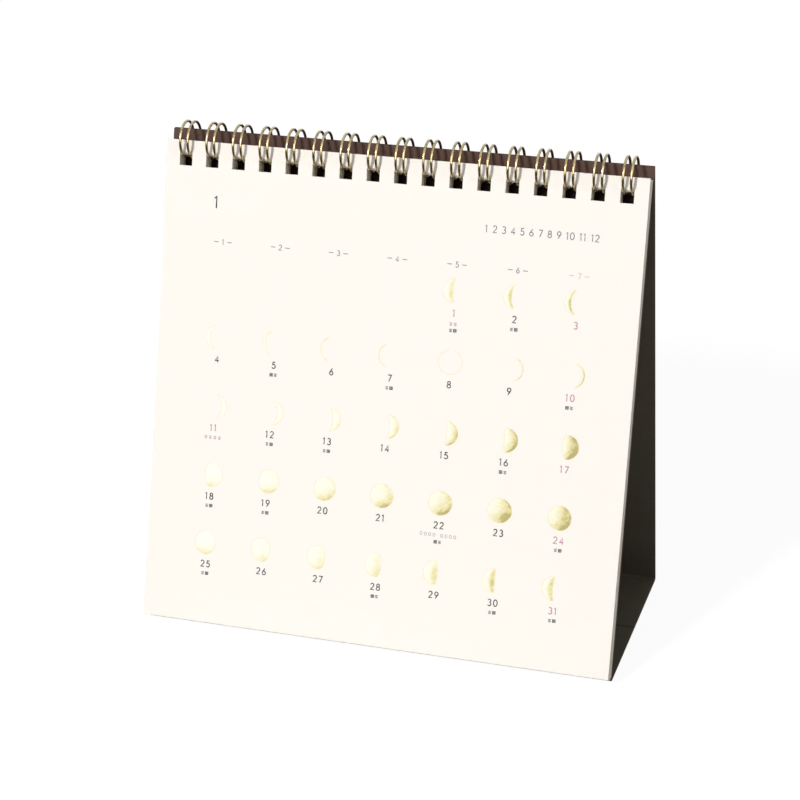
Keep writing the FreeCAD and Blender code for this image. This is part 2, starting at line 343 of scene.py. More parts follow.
@dataclass(frozen=True)
class AntiqueGoldWire:
    """Antique gold wire: half gloss under a thin lacquer, with drawing lines and darker spots."""

    gold: str = "#BBA772"
    worn: str = "#7C6645"
    spot: float = 0.7 * MM
    line: float = 0.08 * MM
    line_squash: float = 0.05
    line_relief: float = 0.08
    line_depth: float = 0.01 * MM
    smoothest: float = 0.17
    roughest: float = 0.34
    lacquer_roughness: float = 0.12
    lacquer_index: float = 1.7

    def material(self) -> Material:
        """Build the wire's material.

        Returns:
            The material: a metal whose colour mixes from gold to worn by a noise, with drawing
            lines that run along the wire, as the UV map does.
        """
        made, nodes = new_material("antique_gold_wire")
        worn = nodes.remap(nodes.noise(nodes.coordinates(), self.spot, detail=3.0), (0.42, 0.7))
        along = nodes.add("Mapping", {
            "Vector": nodes.coordinates("UV"), "Scale": (self.line_squash, 1.0, 1.0)})
        lines = nodes.noise(along.outputs["Vector"], self.line)
        nodes.close({
            "Base Color": nodes.mix(worn, self.gold, self.worn), "Metallic": 1.0,
            "Roughness": nodes.remap(lines, target=(self.smoothest, self.roughest)),
            "Coat Weight": 1.0, "Coat Roughness": self.lacquer_roughness,
            "Coat IOR": self.lacquer_index}, (self.line_relief, self.line_depth, lines))
        return made


@dataclass(frozen=True)
class PrintInk:
    """Offset ink on uncoated card: it soaks in, so it is matt and the card's tooth breaks it up."""

    ink: Ink
    tooth: float = 0.15 * MM
    soak: float = 0.15
    roughness: float = 0.85
    shine: float = 0.2

    def material(self) -> Material:
        """Build the ink's material.

        Returns:
            The material: the ink's colour, lightened a little by a noise.
        """
        made, nodes = new_material(f"ink_{self.ink.name.lower()}")
        tooth = nodes.noise(nodes.coordinates(), self.tooth)
        soaked = nodes.remap(tooth, (0.4, 0.8), (0.0, self.soak))
        nodes.close({
            "Base Color": nodes.mix(soaked, self.ink.value, LeafStock.face),
            "Roughness": self.roughness, "Specular IOR Level": self.shine})
        return made


@dataclass(frozen=True)
class PearlGold:
    """Pearl gold print, near white where it is thin and where its painted highlight lies, and mottled by
    mica in slanting streaks.
    """

    pale: str = "#FEFEF4"
    cream: str = "#FBF7DE"
    straw: str = "#EADFA6"
    gold: str = "#BDB076"
    cream_at: float = 0.28
    straw_at: float = 0.62
    streak: float = 1.1 * MM
    stretch: float = 2.0
    slant: float = math.radians(35.0)
    swing: Pair = (0.7, 1.3)
    roughness: float = 0.6
    shine: float = 0.16

    def material(self) -> Material:
        """Build the moons' material.

        Returns:
            The material: a ramp from pale over cream and straw to gold by the attribute depth, which
            holds the print's tone and a painted highlight; a noise stretched along the slant multiplies
            it by the swing.
        """
        made, nodes = new_material("pearl_gold")
        drawn = nodes.add("Mapping", {
            "Vector": nodes.coordinates(), "Rotation": (0.0, -self.slant, 0.0),
            "Scale": (self.stretch, 1.0, 1.0)}, vector_type="TEXTURE")
        streak = nodes.noise(drawn.outputs["Vector"], self.streak, detail=4.0, rough=0.7)
        swing = nodes.remap(streak, (0.35, 0.65), self.swing, clamp=False)
        amount = nodes.add(
            "Math", {0: swing, 1: nodes.attribute("depth")}, operation="MULTIPLY", use_clamp=True)
        ramp = nodes.add("ValToRGB", {"Fac": amount.outputs[0]})
        stops = ramp.color_ramp.elements
        stops[0].color, stops[1].color = linear(self.pale), linear(self.gold)
        stops.new(self.cream_at).color = linear(self.cream)
        stops.new(self.straw_at).color = linear(self.straw)
        nodes.close({
            "Base Color": ramp.outputs["Color"], "Roughness": self.roughness,
            "Specular IOR Level": self.shine})
        return made


def new_piece(name: str, points: Array, faces: Array | list[Sequence[int]], material: Material,
              smooth: bool = False) -> Piece:
    """Make a mesh object at the origin and give it its material.

    Args:
        name: The piece's name.
        points: Corners, one row of x, y, z each.
        faces: Corner numbers of each face, turned so that it looks outwards.
        material: The piece's material.
        smooth: Whether its faces are shaded smooth.

    Returns:
        The new object.
    """
    mesh = bpy.data.meshes.new(name)
    rows = faces.tolist() if isinstance(faces, Array) else faces
    mesh.from_pydata(points.tolist(), [], rows)
    mesh.polygons.foreach_set("use_smooth", np.full(len(mesh.polygons), smooth))
    mesh.materials.append(material)
    mesh.update()
    return put_in_scene(name, mesh)


def set_attribute(piece: Piece, name: str, values: Array, domain: str) -> None:
    """Store one number for each POINT or FACE of a piece, for its material to read."""
    layer = piece.data.attributes.new(name, "FLOAT", domain)
    layer.data.foreach_set("value", np.asarray(values, np.float32))


@dataclass(frozen=True)
class Panel:
    """The front panel: its ridge, and unit vectors across, down from the ridge and out of its face."""

    ridge: Array
    axes: Array

    def place(self, across: Array, down: Array, out: Array) -> Array:
        """Turn panel distances to points: the ridge plus the sum of each distance times its axis."""
        return self.ridge + np.stack(np.broadcast_arrays(across, down, out), -1) @ self.axes

    def measure(self, points: Array) -> tuple[Array, Array]:
        """Find how far down the panel and how far out from it rows of x, y, z lie."""
        _, down, out = self.axes @ (points - self.ridge).T
        return down, out


def node_points(name: str) -> Array:
    """Read a CAD node's corners at rest.

    Args:
        name: The node's name.

    Returns:
        The corners, one row each.
    """
    mesh = frame["nodes"][name].data
    flat = np.empty(len(mesh.vertices) * 3, np.float32)
    mesh.vertices.foreach_get("co", flat)
    return flat.reshape(-1, 3).astype(float)


def front_panel() -> Panel:
    """Find the front panel's axes from the stand.

    Returns:
        The panel: its ridge is the stand's highest corner that lies furthest to the front, and its
        lean goes from there to the fold's foremost corner. The axes down and out have the lean's
        sine and cosine in y and z.
    """
    level, fold_top, past_ridge = 0.01 * MM, 10 * MM, 1 * MM
    points = node_points("stand")
    top = points[points[:, 2] > points[:, 2].max() - level]
    _, y, z = top[top[:, 1].argmin()]
    front = points[(points[:, 2] > fold_top) & (points[:, 1] < y - past_ridge)]
    lean = float(np.arctan2(y - front[:, 1], z - front[:, 2]).max())
    sine, cosine = math.sin(lean), math.cos(lean)
    axes = np.array([[1.0, 0.0, 0.0], [0.0, -sine, -cosine], [0.0, -cosine, sine]])
    return Panel(np.array([0.0, y, z]), axes)


@dataclass(frozen=True)
class PunchedRow:
    """The punched row of the leaves: its holes' side, pitch and number, and the margin above them."""

    side: float
    pitch: float
    count: int
    margin: float

    @property
    def middles(self) -> Array:
        """The holes' middles across: steps of the pitch, evenly about 0."""
        return (np.arange(self.count) - (self.count - 1) / 2) * self.pitch


@dataclass
class LeafBlock:
    """The leaves: separate punched sheets that hang on the rings, bowed in a little half way down."""

    panel: Panel
    count: int = 14
    air: float = 0.03 * MM
    bow: float = 1.0 * MM
    shuffle: float = 0.06 * MM
    levels: int = 25
    seed: int = 7
    cut_across: float = field(init=False)
    top: float = field(init=False)
    height: float = field(init=False)
    row: PunchedRow = field(init=False)
    out_at_top: Array = field(init=False)
    out_at_foot: Array = field(init=False)

    def __post_init__(self) -> None:
        """Measure the block and its punched row on its CAD node."""
        points = node_points("page_block")
        down, out = self.panel.measure(points)
        near = 0.02 * MM
        self.top = float(down.min())
        block_front = float(out[down < self.top + near].max())
        front = out > block_front - near
        levels = np.unique(np.round(down[front], 5))
        self.height = float(levels[-1] - levels[0])
        sides = np.unique(np.round(points[front & (np.abs(down - levels[1]) < near), 0], 5))
        self.row = PunchedRow(float(sides[1] - sides[0]), float(sides[2] - sides[0]), len(sides) // 2,
                              float(levels[1] - levels[0]))
        self.cut_across = float(points[:, 0].max() - points[:, 0].min())
        self.out_at_top = np.linspace(block_front, float(out.min()), self.count + 1)
        self.out_at_foot = np.linspace(float(out.max()), float(out.min()), self.count + 1)

    def out_at(self, level: int, share: Array) -> Array:
        """How far out a leaf's face lies.

        Args:
            level: 0 for the first leaf's face, up to count for the last leaf's back.
            share: Distances down the leaf as shares of its height.

        Returns:
            The straight line from the top's to the foot's value, less a parabola, which is the bow
            half way down the first leaf and nothing at the last leaf's back.
        """
        top, foot = self.out_at_top[level], self.out_at_foot[level]
        bow = self.bow * (1 - level / self.count)
        return top + (foot - top) * share - 4 * bow * share * (1 - share)

    def face_points(self, flat: Array, lift: float) -> Array:
        """Points above the first leaf's face, from rows of across and down from its top edge."""
        across, down = flat.T
        return self.panel.place(across, self.top + down, self.out_at(0, down / self.height) + lift)

    def grid_lines(self) -> tuple[Array, Array, Array]:
        """Cut a leaf into cells, so that each punched hole is one of them.

        Returns:
            The cells' lines across and down, and whether each cell is paper.
        """
        holes = (self.row.middles[:, None] + np.array([-0.5, 0.5]) * self.row.side).ravel()
        across = np.concatenate([[-self.cut_across / 2], holes, [self.cut_across / 2]])
        below = np.linspace(self.row.margin + self.row.side, self.height, self.levels)
        down = np.concatenate([[0.0, self.row.margin], below])
        paper = np.ones((len(down) - 1, len(across) - 1), bool)
        paper[1, 1::2] = False
        return across, down, paper

    def leaf(self, number: int, hang: "Binding", rng: np.random.Generator) -> tuple[Array, Array, Array]:
        """Work out one leaf as a thin closed plate with square windows.

        Args:
            number: 0 for the first leaf.
            hang: The binding whose rings carry the leaves.
            rng: Source of the small shuffle that the leaves hang with.

        Returns:
            Its corners, its quads and whether each quad is a cut edge. The quads are the paper
            cells of the front and the back, and a wall on each side that only one front cell has.
        """
        across, down, paper = self.grid_lines()
        shift = 0.0
        if number:
            across[[0, -1]] -= np.sign(across[[0, -1]]) * self.shuffle
            shift = rng.uniform(-self.shuffle, self.shuffle)
        sag = hang.reach(self.out_at_top[number]) - hang.reach(self.out_at_top[0])
        layers = []
        for level, step in ((number, 0.0), (number + 1, self.air)):
            out = self.out_at(level, down / self.height) + step
            layers.append(self.panel.place(
                across[None, :] + shift, (self.top + sag + down)[:, None], out[:, None]))
        points = np.concatenate([layer.reshape(-1, 3) for layer in layers])
        ids = np.arange(len(down) * len(across)).reshape(len(down), len(across))
        cells = np.stack([ids[:-1, :-1], ids[1:, :-1], ids[1:, 1:], ids[:-1, 1:]], -1)
        front = cells[paper]
        sides = np.stack([front, np.roll(front, -1, axis=1)], -1).reshape(-1, 2)
        _, first, uses = np.unique(np.sort(sides, 1), axis=0, return_index=True, return_counts=True)
        start, end = sides[first[uses == 1]].T
        walls = np.stack([end, start, start + ids.size, end + ids.size], -1)
        quads = np.concatenate([front, front[:, ::-1] + ids.size, walls])
        cut = np.concatenate([np.zeros(2 * len(front)), np.ones(len(walls))])
        return points, quads, cut

    def build(self, hang: "Binding") -> list[Piece]:
        """Make the first leaf and the rest of the block, in place of the CAD block.

        Args:
            hang: The binding whose rings carry the leaves.

        Returns:
            The pieces.
        """
        rng = np.random.default_rng(self.seed)
        material = LeafStock().material()
        plates = [self.leaf(number, hang, rng) for number in range(self.count)]
        made = []
        for name, chosen in (("first_leaf", plates[:1]), ("other_leaves", plates[1:])):
            starts = np.cumsum([0] + [len(plate[0]) for plate in chosen])
            points = np.concatenate([plate[0] for plate in chosen])
            quads = np.concatenate([plate[1] + start for plate, start in zip(chosen, starts)])
            piece = new_piece(name, points, quads, material)
            set_attribute(piece, "cut_edge", np.concatenate([plate[2] for plate in chosen]), "FACE")
            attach(piece, "pages")
            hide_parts("page_block")
            made.append(piece)
        return made


@dataclass(frozen=True)
class Bend:
    """A stretch of an ellipse in a figure's stroke, in shares of the figure's height."""

    middle: Pair
    reach: Pair
    start: float = 0
    end: float = 360

    def points(self) -> Array:
        """Points from its start to its end, no more than 15 degrees apart."""
        turns = np.linspace(self.start, self.end, 1 + math.ceil(abs(self.end - self.start) / 15))
        return self.middle + circle(np.radians(turns)) * self.reach


# Plain figures as strokes: each stroke runs through corners and bends, x to the right and y up.
Stroke = tuple[Pair | Bend, ...]
FIGURES: dict[str, tuple[Stroke, ...]] = {
    "0": ((Bend((0.28, 0.5), (0.26, 0.46), 90, 450),),),
    "1": (((0.0, 0.8), (0.17, 0.95), (0.17, 0.02)),),
    "2": ((Bend((0.26, 0.7), (0.23, 0.25), 165, -40), (0.03, 0.05), (0.52, 0.05)),),
    "3": ((Bend((0.23, 0.73), (0.2, 0.22), 150, -90),), (Bend((0.23, 0.28), (0.24, 0.24), 90, -150),)),
    "4": (((0.4, 0.02), (0.4, 0.93), (0.04, 0.28), (0.54, 0.28)),),
    "5": (((0.46, 0.94), (0.13, 0.94), Bend((0.23, 0.33), (0.25, 0.28), 125, -150)),),
    "6": ((Bend((0.27, 0.3), (0.24, 0.26)),), ((0.4, 0.96), (0.06, 0.42))),
    "7": (((0.02, 0.93), (0.5, 0.93), (0.17, 0.02)),),
    "8": ((Bend((0.26, 0.73), (0.19, 0.21)),), (Bend((0.26, 0.28), (0.24, 0.24)),)),
    "9": ((Bend((0.27, 0.68), (0.24, 0.26)),), ((0.14, 0.02), (0.48, 0.56))),
    " ": (),
    "-": (((0.0, 0.5), (0.8, 0.5)),),
    "o": ((Bend((0.3, 0.45), (0.3, 0.42)),),),
}


def stroke_lines(sign: str) -> list[Array]:
    """Work out the strokes of a figure whose height is 1.

    Args:
        sign: The figure.

    Returns:
        The points along each stroke, x to the right and y up.
    """
    return [
        np.concatenate([
            item.points() if isinstance(item, Bend) else np.array([item]) for item in stroke])
        for stroke in FIGURES[sign]
    ]


def widened(line: Array, width: float, closed: bool = False) -> tuple[Array, Array]:
    """Widen a line of points to a flat strip.

    Args:
        line: The points.
        width: The strip's width.
        closed: Whether the last point is joined to the first.

    Returns:
        The strip's corners and its quads. Two sides' unit normals a and b give their corner's mitre
        (a + b) / (1 + a . b), with the divisor at least 0.5.
    """
    ends = np.concatenate([line, line[:1]]) if closed else line
    side = unit(np.diff(ends, axis=0))[:, ::-1] * (-1.0, 1.0)
    after = side if closed else np.concatenate([side, side[-1:]])
    before = np.roll(side, 1, axis=0) if closed else np.concatenate([side[:1], side])
    turn = 1 + (before * after).sum(1, keepdims=True)
    reach = (before + after) / np.maximum(turn, 0.5) * width / 2
    ids = np.arange(2 * len(line)).reshape(2, len(line))
    following = np.roll(ids, -1, axis=1)
    quads = np.stack([ids[0], ids[1], following[1], following[0]], -1)
    return np.concatenate([line - reach, line + reach]), quads if closed else quads[:-1]


@dataclass
class Print:
    """Flat shapes of one ink, gathered before they are laid on the leaf as one piece."""

    flats: list[Array] = field(default_factory=list)
    faces: list[Array] = field(default_factory=list)
    depths: list[Array] = field(default_factory=list)
    count: int = 0

    def add(self, flat: Array, quads: Array, depth: Array | float = 0.0) -> None:
        """Gather a shape, with its quads turned out of the leaf by their diagonals' cross product.

        Args:
            flat: Its corners, across and down.
            quads: Its quads.
            depth: How deep the colour is at each corner, or everywhere; on the moons, print and painted
                highlight together.
        """
        first, second = (flat[quads[:, 2:]] - flat[quads[:, :2]]).transpose(1, 2, 0)
        backwards = first[0] * second[1] > first[1] * second[0]
        turned = np.where(backwards[:, None], quads[:, ::-1], quads)
        self.flats.append(flat)
        self.faces.append(turned + self.count)
        self.depths.append(np.broadcast_to(depth, len(flat)))
        self.count += len(flat)

    def piece(self, name: str, leaf: LeafBlock, lift: float, material: Material) -> Piece:
        """Lay all the shapes on the first leaf as one piece.

        Args:
            name: The piece's name.
            leaf: The leaves.
            lift: Height above the leaf's face.
            material: The ink.

        Returns:
            The piece.
        """
        flat = np.concatenate(self.flats)
        made = new_piece(name, leaf.face_points(flat, lift), np.concatenate(self.faces), material)
        set_attribute(made, "depth", np.concatenate(self.depths), "POINT")
        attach(made, "pages")
        return made


# Small stand-ins for characters: each bar's offset across and down, width and height in millimetres.
Mark = tuple[tuple[float, float, float, float], ...]
OPEN_MARK: Mark = (
    (0.0, -0.36, 0.9, 0.17), (0.0, 0.05, 0.17, 1.0), (-0.28, 0.2, 0.17, 0.55), (0.28, 0.2, 0.17, 0.55))
FULL_MARK: Mark = (
    (0.0, -0.42, 1.05, 0.2), (0.0, -0.03, 1.05, 0.22), (0.0, 0.36, 1.05, 0.2),
    (-0.38, 0.0, 0.22, 1.05), (0.05, 0.0, 0.22, 1.05), (0.43, 0.0, 0.2, 0.9))


@dataclass(frozen=True)
class Lettering:
    """How figures are set: their height, and as shares of it their strokes, gaps and least width."""

    height: float
    weight: float = 0.12
    gap: float = 0.34
    narrowest: float = 0.3


@dataclass(frozen=True)
class MoonShade:
    """How deep the pearl gold looks on a moon, from 0 to 1: it deepens to the right and the foot.

    It grows from column to column, and a waning moon has a soft band beside its terminator. The
    band is the print's own; the paler tops, left sides and left columns are a painted highlight of
    the foil, as if lit from the upper left.
    """

    thinnest: float = 0.03
    wash: float = 0.15
    slope: float = 0.68
    slope_waxing: float = 0.32
    slope_waning: float = -0.58
    limb_waxing: float = -0.35
    band: float = 0.62
    band_at: float = 0.8
    band_width: float = 0.3
    foot: float = 0.7
    foot_by_column: float = -0.3
    lower_from: float = -0.25
    slope_down: Pair = (0.7, 0.5)
    limb_down: Pair = (0.55, 0.45)

    def depth(self, age: float, column: float, right: Array, heights: Array) -> Array:
        """Work out the pearl gold's depth over a moon's lit part: the print's tone with a painted
        highlight.

        Args:
            age: The moon's age as an angle.
            column: Its place in the row, from 0 to 1.
            right: Places across the lit part, from 0 to 1.
            heights: Places down from the moon's middle, in radii.

        Returns:
            The sum of the thinnest ink, a wash, a slope to the right, a limb by right cubed, a band
            by a bell curve, and a foot by lower squared. Lower also makes slope and limb deeper.
        """
        lit, waxing, waning = (1 - math.cos(age)) / 2, max(0.0, math.sin(age)), max(0.0, -math.sin(age))
        lower = np.clip((heights - self.lower_from) / (1 - self.lower_from), 0, 1)
        slope = self.slope + self.slope_waxing * waxing + self.slope_waning * waning
        limb = (1 - waning) * (1 + self.limb_waxing * waxing) * column ** 2
        bell = np.exp(-((right - self.band_at) / self.band_width) ** 2) * (1 - 0.5 * heights ** 2)
        foot = (self.foot + self.foot_by_column * column) * lit ** 1.5
        # painted highlight: depth grows with the column, to the right and to the foot, so moons to the
        # left and their tops look paler, as if lit from the upper left
        depth = (self.thinnest + self.wash * lit * column ** 2
                 + slope * column * right * (self.slope_down[0] + self.slope_down[1] * lower)
                 + limb * right ** 3 * (self.limb_down[0] + self.limb_down[1] * lower)
                 + self.band * waning * column * bell + foot * lower ** 2)
        return np.clip(depth, 0, 1)


@dataclass
class PrintedFace:
    """What is printed on the first leaf: a grid of dates with the moon above each of them."""

    leaf: LeafBlock
    first_column: float = -54.55 * MM
    column: float = 18.36 * MM
    first_row: float = 44.3 * MM
    row: float = 21.34 * MM
    first_line: float = 3.0 * MM
    second_line: float = 5.15 * MM
    mark_half: float = 0.66 * MM
    moon_rise: float = 6.7 * MM
    moon_radius: float = 3.68 * MM
    moon_shift: float = 0.2 * MM
    waxing_shifts: float = 0.85
    waning_shifts: float = 0.2
    moon_line: float = 0.13 * MM
    moon_grid: tuple[int, int] = (41, 15)
    shortest_horn: float = 0.94
    outline_points: int = 96
    ink_lift: float = 0.012 * MM
    outline_lift: float = 0.0168 * MM
    outline_depth: float = 0.5
    start_column: int = 4
    days: int = 31
    new_moon: int = 8
    full_moon: int = 22
    holidays: Days = (1, 3, 10, 11, 17, 24, 31)
    captioned: Days = (1, 2, 5, 7, 10, 12, 13, 16, 18, 19, 22, 24, 25, 28, 30, 31)
    full_mark_first: Days = (5, 10, 16, 22, 28)
    on_second_line: Days = (1, 22)
    holiday_captions: tuple[tuple[int, float, float, int], ...] = (
        (1, 3.25 * MM, 0.66 * MM, 2), (11, 3.0 * MM, 2.2 * MM, 4))
    date: Lettering = Lettering(2.15 * MM, 0.15)
    caption: Lettering = Lettering(1.15 * MM, gap=0.58)
    month: Lettering = Lettering(3.75 * MM)
    month_at: Pair = (-57.3 * MM, 17.9 * MM)
    scale: Lettering = Lettering(2.2 * MM, 0.115, 0.22)
    scale_at: Pair = (43.6 * MM, 18.45 * MM)
    weekday: Lettering = Lettering(1.75 * MM, gap=0.65)
    weekdays_down: float = 29.8 * MM
    phase_days: tuple[float, ...] = (0.0, 7.0, 9.0, 10.0, 11.0, 15.4, 22.7, 25.0, 30.3, 31.0)
    phase_turns: tuple[float, ...] = (0.75, 0.95, 0.07, 0.11, 0.14, 0.25, 0.5, 0.615, 0.75, 0.77)
    shade: MoonShade = MoonShade()
    prints: dict[Ink, Print] = field(default_factory=lambda: {ink: Print() for ink in Ink})

    def spot(self, day: int) -> Pair:
        """Where a date's middle is: the column's and the row's spacing times their numbers."""
        row, column = divmod(day - 1 + self.start_column, 7)
        return self.first_column + column * self.column, self.first_row + row * self.row

    def write(self, words: str, at: Pair, ink: Ink, style: Lettering) -> None:
        """Print plain figures, centred on a spot.

        Args:
            words: The figures, and spaces.
            at: Their middle, across and down the leaf.
            ink: Their ink.
            style: How they are set.
        """
        placed, pen = [], 0.0
        for sign in words:
            lines = stroke_lines(sign)
            placed += [line + (pen, -0.5) for line in lines]
            pen += max([style.narrowest] + [line[:, 0].max() for line in lines]) + style.gap
        for line in placed:
            flat, quads = widened(line - ((pen - style.gap) / 2, 0.0), style.weight)
            self.prints[ink].add(flat * (1.0, -1.0) * style.height + at, quads)

    def stamp(self, mark: Mark, at: Pair, ink: Ink) -> None:
        """Print a mark's bars.

        Args:
            mark: The bars.
            at: The mark's middle, across and down the leaf.
            ink: Their ink.
        """
        square = np.array([[-0.5, -0.5], [-0.5, 0.5], [0.5, 0.5], [0.5, -0.5]])
        for x, y, width, height in mark:
            flat = (square * (width, height) + (x, y)) * MM
            self.prints[ink].add(flat + at, np.array([[0, 1, 2, 3]]))

    def dates(self) -> None:
        """Print the dates, and under some of them captions of a full and an open mark."""
        for day in range(1, self.days + 1):
            across, down = self.spot(day)
            ink = Ink.HOLIDAY if day in self.holidays else Ink.WEEKDAY
            self.write(str(day), (across, down), ink, self.date)
            if day in self.captioned:
                lower = down + (self.second_line if day in self.on_second_line else self.first_line)
                half = -self.mark_half if day in self.full_mark_first else self.mark_half
                self.stamp(FULL_MARK, (across + half, lower), Ink.WEEKDAY)
                self.stamp(OPEN_MARK, (across - half, lower), Ink.WEEKDAY)
        for day, drop, reach, count in self.holiday_captions:
            across, down = self.spot(day)
            for step in np.linspace(-reach, reach, count):
                self.stamp(OPEN_MARK, (across + float(step), down + drop), Ink.HOLIDAY)
        across, down = self.spot(self.full_moon)
        self.write("oooo oooo", (across, down + self.first_line), Ink.CAPTION, self.caption)

    def headings(self) -> None:
        """Print the month's number, a scale of the twelve months, and the weekdays' numbers."""
        self.write("1", self.month_at, Ink.WEEKDAY, self.month)
        months = " ".join(str(month) for month in range(1, 13))
        self.write(months, self.scale_at, Ink.HEADING, self.scale)
        for number in range(7):
            ink = Ink.FAINT_HOLIDAY if number == 6 else Ink.HEADING
            across = self.first_column + number * self.column
            self.write(f"-{number + 1}-", (across, self.weekdays_down), ink, self.weekday)

    def phase(self, day: int) -> float:
        """The moon's age as an angle, 0 when new and half a turn when full, by straight steps."""
        return 2 * math.pi * float(np.interp(day, self.phase_days, self.phase_turns))

    def moon(self, day: int) -> tuple[Array, Array, Array, Array]:
        """Work out one moon's lit part as a grid between its terminator and its limb.

        Args:
            day: The date.

        Returns:
            Its corners, its quads, the depth of the pearl gold at each corner (print and painted
            highlight together), and the outline. At the height h the limb is at the root of 1 - h
            squared, and the terminator at that times the cosine of the age. A crescent's horns are a
            little short, and a thin or waxing moon sits a little towards its lit side.
        """
        age = self.phase(day)
        side = 1.0 if age <= math.pi else -1.0
        lit = (1 - math.cos(age)) / 2
        tip = self.shortest_horn + (1 - self.shortest_horn) * min(1.0, 2 * lit)
        heights = tip * np.sin(np.linspace(-math.pi / 2, math.pi / 2, self.moon_grid[0]))
        half = np.sqrt(np.clip(1 - heights ** 2, 0, 1))
        terminator, limb = side * math.cos(age) * half, side * half
        shares = np.linspace(0.0, 1.0, self.moon_grid[1])[:, None]
        across = terminator + (limb - terminator) * shares
        flat = np.stack([across, np.broadcast_to(heights, across.shape)], -1)
        ids = np.arange(across.size).reshape(across.shape)
        quads = np.stack([ids[:-1, :-1], ids[:-1, 1:], ids[1:, 1:], ids[1:, :-1]], -1).reshape(-1, 4)
        column = ((day - 1 + self.start_column) % 7) / 6
        # painted highlight: the moons' gold is paler to the left of the row and at each moon's upper
        # left; the band by a waning terminator is print
        depth = self.shade.depth(age, column, shares if side > 0 else 1 - shares, heights)
        shifted = lit < (self.waxing_shifts if side > 0 else self.waning_shifts)
        middle = np.add(self.spot(day), (side * self.moon_shift if shifted else 0.0, -self.moon_rise))
        edge = np.concatenate([flat[0, :-1], flat[-1, :0:-1]])
        return (flat.reshape(-1, 2) * self.moon_radius + middle, quads, depth.ravel(),
                edge * self.moon_radius + middle)

    def moons(self) -> list[Piece]:
        """Print the moons and their thin outlines; the new moon is an outline alone.

        Returns:
            The two pieces.
        """
        fills, lines = Print(), Print()
        for day in range(1, self.days + 1):
            flat, quads, depth, edge = self.moon(day)
            if day == self.new_moon:
                turns = np.linspace(0, 2 * math.pi, self.outline_points, endpoint=False)
                middle = np.subtract(self.spot(day), (0.0, self.moon_rise))
                edge = circle(turns) * self.moon_radius + middle
            else:
                fills.add(flat, quads, depth)
            lines.add(*widened(edge, self.moon_line, closed=True), self.outline_depth)
        material = PearlGold().material()
        return [fills.piece("printed_moons", self.leaf, self.ink_lift, material),
                lines.piece("moon_outlines", self.leaf, self.outline_lift, material)]

    def build(self) -> list[Piece]:
        """Print the leaf.

        Returns:
            The moons, and one piece for each ink.
        """
        self.headings()
        self.dates()
        return self.moons() + [
            gathered.piece(f"printed_{ink.name.lower()}", self.leaf, self.ink_lift,
                           PrintInk(ink).material())
            for ink, gathered in self.prints.items()]


